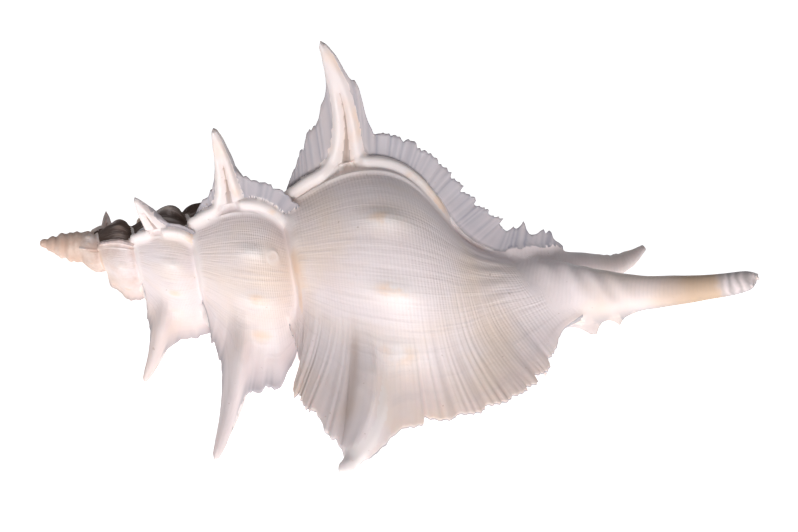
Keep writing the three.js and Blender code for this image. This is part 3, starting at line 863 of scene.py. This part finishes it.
# ---- Looks -------------------------------
class Graph:
    """Short names for the nodes of one material."""

    def __init__(self, name):
        self.material = bpy.data.materials.new(name)
        self.material.use_nodes = True
        self.nodes, self.links = self.material.node_tree.nodes, self.material.node_tree.links
        self.shader = self.nodes["Principled BSDF"]

    def node(self, kind, **settings):
        node = self.nodes.new(kind)
        for key, value in settings.items():
            setattr(node, key, value)
        return node

    def feed(self, socket, value):
        if isinstance(value, bpy.types.NodeSocket):
            self.links.new(value, socket)
        else:
            socket.default_value = value

    def feed_all(self, node, **values):
        for name, value in values.items():
            self.feed(node.inputs[name], value)

    def math(self, operation, a, b=0.0, clamp=False):
        node = self.node("ShaderNodeMath", operation=operation, use_clamp=clamp)
        self.feed(node.inputs[0], a)
        self.feed(node.inputs[1], b)
        return node.outputs[0]

    def plus(self, a, b, clamp=False):
        return self.math("ADD", a, b, clamp)

    def minus(self, a, b, clamp=False):
        return self.math("SUBTRACT", a, b, clamp)

    def times(self, a, b, clamp=False):
        return self.math("MULTIPLY", a, b, clamp)

    def attribute(self, name):
        return self.node("ShaderNodeAttribute", attribute_name="shell_" + name).outputs["Fac"]

    def noise(self, scale, detail=4.0, vector=None, roughness=0.5):
        node = self.node("ShaderNodeTexNoise")
        vector = vector or self.place
        self.feed_all(node, Scale=scale, Detail=detail, Roughness=roughness, Vector=vector)
        return node.outputs["Fac"]

    def ramp(self, value, low, high):
        node = self.node("ShaderNodeMapRange", interpolation_type="SMOOTHSTEP")
        self.feed(node.inputs["Value"], value)
        node.inputs["From Min"].default_value, node.inputs["From Max"].default_value = low, high
        return node.outputs["Result"]

    def mix(self, factor, a, b):
        node = self.node("ShaderNodeMix", data_type="RGBA")
        self.feed_all(node, Factor=factor, A=a, B=b)
        return node.outputs["Result"]

    def vector(self, x, y, z):
        node = self.node("ShaderNodeCombineXYZ")
        for socket, value in zip(node.inputs, (x, y, z)):
            self.feed(socket, value)
        return node.outputs[0]


WHITE = (0.84, 0.745, 0.745, 1)
CREAM = (0.84, 0.695, 0.61, 1)
PINK = (0.78, 0.66, 0.65, 1)
ORANGE = (0.84, 0.52, 0.28, 1)
# Grey of the painted shade on thin wings, the canal's underside and the thread grooves.
GREY = (0.25, 0.25, 0.295, 1)
TAN = (0.52, 0.33, 0.24, 1)
# Brown of the real freckles and of the painted shade in creases and grooves.
BROWN = (0.30, 0.17, 0.09, 1)
# Dark brown of the painted shadow on the old whorls.
DARK = (0.075, 0.042, 0.028, 1)
# Painted shade on the older spines, and also the real darker growth streaks.
SHADE_AND_STREAKS = (0.66, 0.57, 0.56, 1)
# Pale of the real white cords and of the painted highlight on the knobs.
PALE = (0.89, 0.82, 0.80, 1)
CANAL_BAND = (0.52, 0.34, 0.18, 1)
CANAL_END = (0.36, 0.32, 0.31, 1)
MOUTH_LINING = (0.86, 0.74, 0.68, 1)
PAPER = (0.90, 0.90, 0.905, 1)


def body_colour(g, m):
    """Mottled white, cream and pink, with broad bands of growth."""
    colour = g.mix(g.ramp(g.noise(38, 5), 0.40, 0.66), WHITE, CREAM)
    blush = g.ramp(g.noise(55, 4, roughness=0.6), 0.45, 0.7)
    colour = g.mix(g.times(blush, 0.55), colour, PINK)
    bands = g.noise(1.0, 3, g.vector(g.times(m["growth"], 0.045), g.times(m["arc"], 0.02), 0.0))
    return g.mix(g.times(g.ramp(bands, 0.52, 0.7), 0.35), colour, CREAM)


def varix_colour(g, m, colour, newest):
    """Thin wings painted grey as shade, darker in their furrows, pale cords with orange stains, and older
    spines painted a little darker as shade.
    """
    thin = g.times(g.ramp(m["wing"], 0.12, 0.7), g.ramp(g.minus(m["spine"], m["wing"]), 0.1, -0.2))
    wing_shade = g.times(thin, g.minus(1.0, g.times(m["rib"], 0.32)))
    colour = g.mix(g.times(wing_shade, 0.95, clamp=True), colour, GREY)
    colour = g.mix(g.times(m["cord"], 0.75), colour, PALE)
    # Painted shade: spines older than the lip are tinted a little darker.
    spine_shade = g.times(m["spine"], g.minus(0.5, g.times(newest, 0.5)), clamp=True)
    colour = g.mix(spine_shade, colour, SHADE_AND_STREAKS)
    stain = g.times(g.times(m["cord"], g.ramp(g.noise(42, 3), 0.53, 0.66)), 0.6)
    return g.mix(stain, colour, ORANGE)


def knob_colour(g, m, colour):
    # Painted highlight: the knobs are tinted pale; orange stains sit in their middle.
    colour = g.mix(g.times(m["knob"], 0.75, clamp=True), colour, PALE)
    tint = g.times(g.ramp(m["knob"], 0.35, 0.95), g.ramp(g.noise(160, 4), 0.4, 0.6))
    return g.mix(g.times(tint, 0.45), colour, ORANGE)


def painted_shadow_share(g, m):
    """Where the painted shadow, a dark brown sheet, covers the old whorls: ragged at its edge and thinner on
    the knobs.
    """
    ragged = g.ramp(g.plus(m["dark"], g.times(g.noise(90, 4), 0.6)), 0.6, 0.95)
    painted_shadow = g.times(ragged, g.plus(g.ramp(g.noise(260, 4), 0.3, 0.65), 0.65), clamp=True)
    return g.times(painted_shadow, g.minus(1.0, g.times(m["knob"], 0.55), clamp=True))


def old_colour(g, m, colour, painted_shadow):
    """Tan smudges on the smallest whorls, and the dark brown sheet of painted shadow."""
    old = g.ramp(m["size"], 0.34, 0.14)
    smudge = g.times(old, g.ramp(g.noise(120, 5, roughness=0.65), 0.3, 0.62))
    colour = g.mix(g.times(smudge, 0.75), colour, TAN)
    return g.mix(g.times(painted_shadow, 0.95), colour, DARK)


def canal_colour(g, m, colour, newest):
    """A tan band near the end of the newest canal, then grey rings."""
    edge = g.plus(m["along"], g.times(g.noise(150, 3), 6.0))
    band = g.times(g.times(g.ramp(edge, 136, 148), g.ramp(edge, 154, 151)), newest)
    colour = g.mix(g.times(band, 0.75), colour, CANAL_BAND)
    rings = g.plus(g.times(g.math("SINE", g.times(edge, 3.1)), 0.3), 0.5)
    end = g.times(g.times(g.ramp(edge, 151, 154), newest), rings)
    return g.mix(end, colour, CANAL_END)


def spiral_threads(g, m, whole):
    """Fine spiral threads, faded on wings, cords, the lining and the joints."""
    threads = g.math("SINE", g.times(m["arc"], 2 * np.pi / THREAD_SPACING))
    strength = g.minus(1.0, g.math("MAXIMUM", m["inner"], g.times(m["cord"], 0.9)), clamp=True)
    strength = g.times(g.times(strength, whole), g.ramp(m["wing"], 0.12, 0.0))
    return g.times(g.times(threads, strength), g.plus(g.noise(60, 2), 0.1))


def shell_relief(g, threads, lines):
    height = g.plus(g.times(threads, 0.000025), g.times(lines, 0.0002))
    height = g.plus(height, g.times(g.noise(700, 3), 0.00005))
    bump = g.node("ShaderNodeBump")
    g.feed_all(bump, Strength=0.8, Distance=1.0, Height=height)
    return bump.outputs["Normal"]


def shell_material():
    g = Graph("murex_shell")
    g.place = g.node("ShaderNodeTexCoord").outputs["Object"]
    m = {name: g.attribute(name) for name in MASKS}
    newest = g.ramp(m["growth"], -80, -40)
    whole = g.minus(1.0, m["joint"], clamp=True)
    painted_shadow = painted_shadow_share(g, m)

    colour = body_colour(g, m)
    colour = varix_colour(g, m, colour, newest)
    colour = knob_colour(g, m, colour)
    colour = old_colour(g, m, colour, painted_shadow)
    colour = canal_colour(g, m, colour, newest)
    # Painted shade: creases and the spines' front grooves are tinted brown.
    colour = g.mix(g.times(m["groove"], 0.55), colour, BROWN)
    colour = g.mix(g.times(m["inner"], 0.5), colour, MOUTH_LINING)
    freckles = g.ramp(g.noise(700, 2), 0.735, 0.78)
    colour = g.mix(g.times(freckles, 0.35), colour, BROWN)
    threads = spiral_threads(g, m, whole)
    # Painted shade: the grooves between the spiral threads are tinted grey.
    colour = g.mix(g.times(g.minus(0.0, threads, clamp=True), 0.07), colour, GREY)
    lines = g.noise(1.0, 4, g.vector(g.times(m["growth"], 0.55), g.times(m["arc"], 0.05), 0.0))
    streaks = g.times(g.times(g.ramp(lines, 0.52, 0.7), whole), 0.3)
    colour = g.mix(streaks, colour, SHADE_AND_STREAKS)

    rough = g.plus(g.times(g.noise(220, 3), 0.18), 0.38)
    rough = g.plus(rough, g.times(painted_shadow, 0.5), clamp=True)
    g.feed(g.shader.inputs["Base Color"], colour)
    g.feed(g.shader.inputs["Roughness"], rough)
    g.feed(g.shader.inputs["Normal"], shell_relief(g, threads, g.times(g.minus(lines, 0.5), whole)))
    g.shader.inputs["Specular IOR Level"].default_value = 0.3
    g.shader.inputs["Subsurface Weight"].default_value = 0.18
    g.shader.inputs["Subsurface Radius"].default_value = (1.0, 0.75, 0.6)
    g.shader.inputs["Subsurface Scale"].default_value = 0.0015
    return g.material


def plain_material(name, colour, roughness):
    g = Graph(name)
    g.shader.inputs["Base Color"].default_value = colour
    g.shader.inputs["Roughness"].default_value = roughness
    return g.material


# ---- Stage, camera and light -------------
def to_rest(vector):
    return Vector(rest_matrix() @ vector)


def make_camera(shift):
    toward, up = outward(CAMERA_ANGLE), outward(CAMERA_ANGLE - 90)
    a = np.radians(CAMERA_TILT)
    target = to_rest((CAMERA_TARGET[0] * AXIS + CAMERA_TARGET[1] * up) / 1000) + Vector(shift)
    back = to_rest(toward).normalized()
    top = to_rest(np.cos(a) * up - np.sin(a) * AXIS).normalized()
    right = top.cross(back).normalized()
    camera = new_object("camera", bpy.data.cameras.new("camera"))
    turn = Matrix((right, back.cross(right), back)).transposed().to_4x4()
    camera.matrix_world = Matrix.Translation(target + back * CAMERA_DISTANCE / 1000) @ turn
    camera.data.sensor_width = 36.0
    camera.data.lens = CAMERA_LENS
    camera.data.clip_start = 0.01
    bpy.context.scene.camera = camera
    return target, back, right


def make_stage(back):
    """A pale floor that glows softly and, far behind the shell, curves up into a backdrop."""
    away = -Vector((back.x, back.y, 0)).normalized()
    side = Vector((-away.y, away.x, 0))
    profile = [(-STAGE_HALF_WIDTH, 0.0), (WALL_START, 0.0)]
    profile += [(WALL_START + np.sin(t), 1.0 - np.cos(t)) for t in np.linspace(0.1, np.pi / 2, 14)]
    profile.append((WALL_START + 1, 4.0))
    points, faces = [], []
    for distance, height in profile:
        for s in (-STAGE_HALF_WIDTH, STAGE_HALF_WIDTH):
            points.append(away * distance + side * s + Vector((0, 0, height)))
    for i in range(len(profile) - 1):
        faces.append((2 * i, 2 * i + 2, 2 * i + 3, 2 * i + 1))
    mesh = new_mesh("backdrop", [tuple(p) for p in points], faces)
    mesh.shade_smooth()
    mesh.materials.append(plain_material("backdrop", PAPER, 0.9))
    glow = plain_material("light_table", PAPER, 0.9)
    inputs = glow.node_tree.nodes["Principled BSDF"].inputs
    inputs["Emission Color"].default_value = (1, 1, 1, 1)
    inputs["Emission Strength"].default_value = FLOOR_GLOW
    mesh.materials.append(glow)
    mesh.polygons[0].material_index = 1
    floor = new_object("backdrop", mesh)


def area_light(name, place, target, size, power, colour):
    light = bpy.data.lights.new(name, "AREA")
    light.shape, light.size, light.energy, light.color = "DISK", size, power, colour
    obj = new_object(name, light)
    obj.location = place
    obj.rotation_euler = (Vector(target) - Vector(place)).to_track_quat("-Z", "Y").to_euler()


def make_lights(target, back, right):
    up = Vector((0, 0, 1))
    front = Vector((back.x, back.y, 0)).normalized()
    place = target + front * 0.8 + up * 0.02 + right * 0.12
    area_light("key", place, target, 0.3, KEY_POWER, (1.0, 0.98, 0.985))
    place = target + up * 0.5 - right * 0.7 + front * 0.5
    area_light("fill", place, target, 0.6, FILL_POWER, (0.95, 0.97, 1.0))
    world = bpy.data.worlds.new("studio")
    world.use_nodes = True
    inputs = world.node_tree.nodes["Background"].inputs
    inputs["Color"].default_value = (0.95, 0.97, 1.0, 1)
    inputs["Strength"].default_value = WORLD_STRENGTH
    bpy.context.scene.world = world
    bpy.context.scene.view_settings.view_transform = "Standard"


shell, shift = make_shell()
shell.data.materials.append(shell_material())
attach(shell, "root")
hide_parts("shell")
target, back, right = make_camera(shift)
make_stage(back)
make_lights(target, back, right)
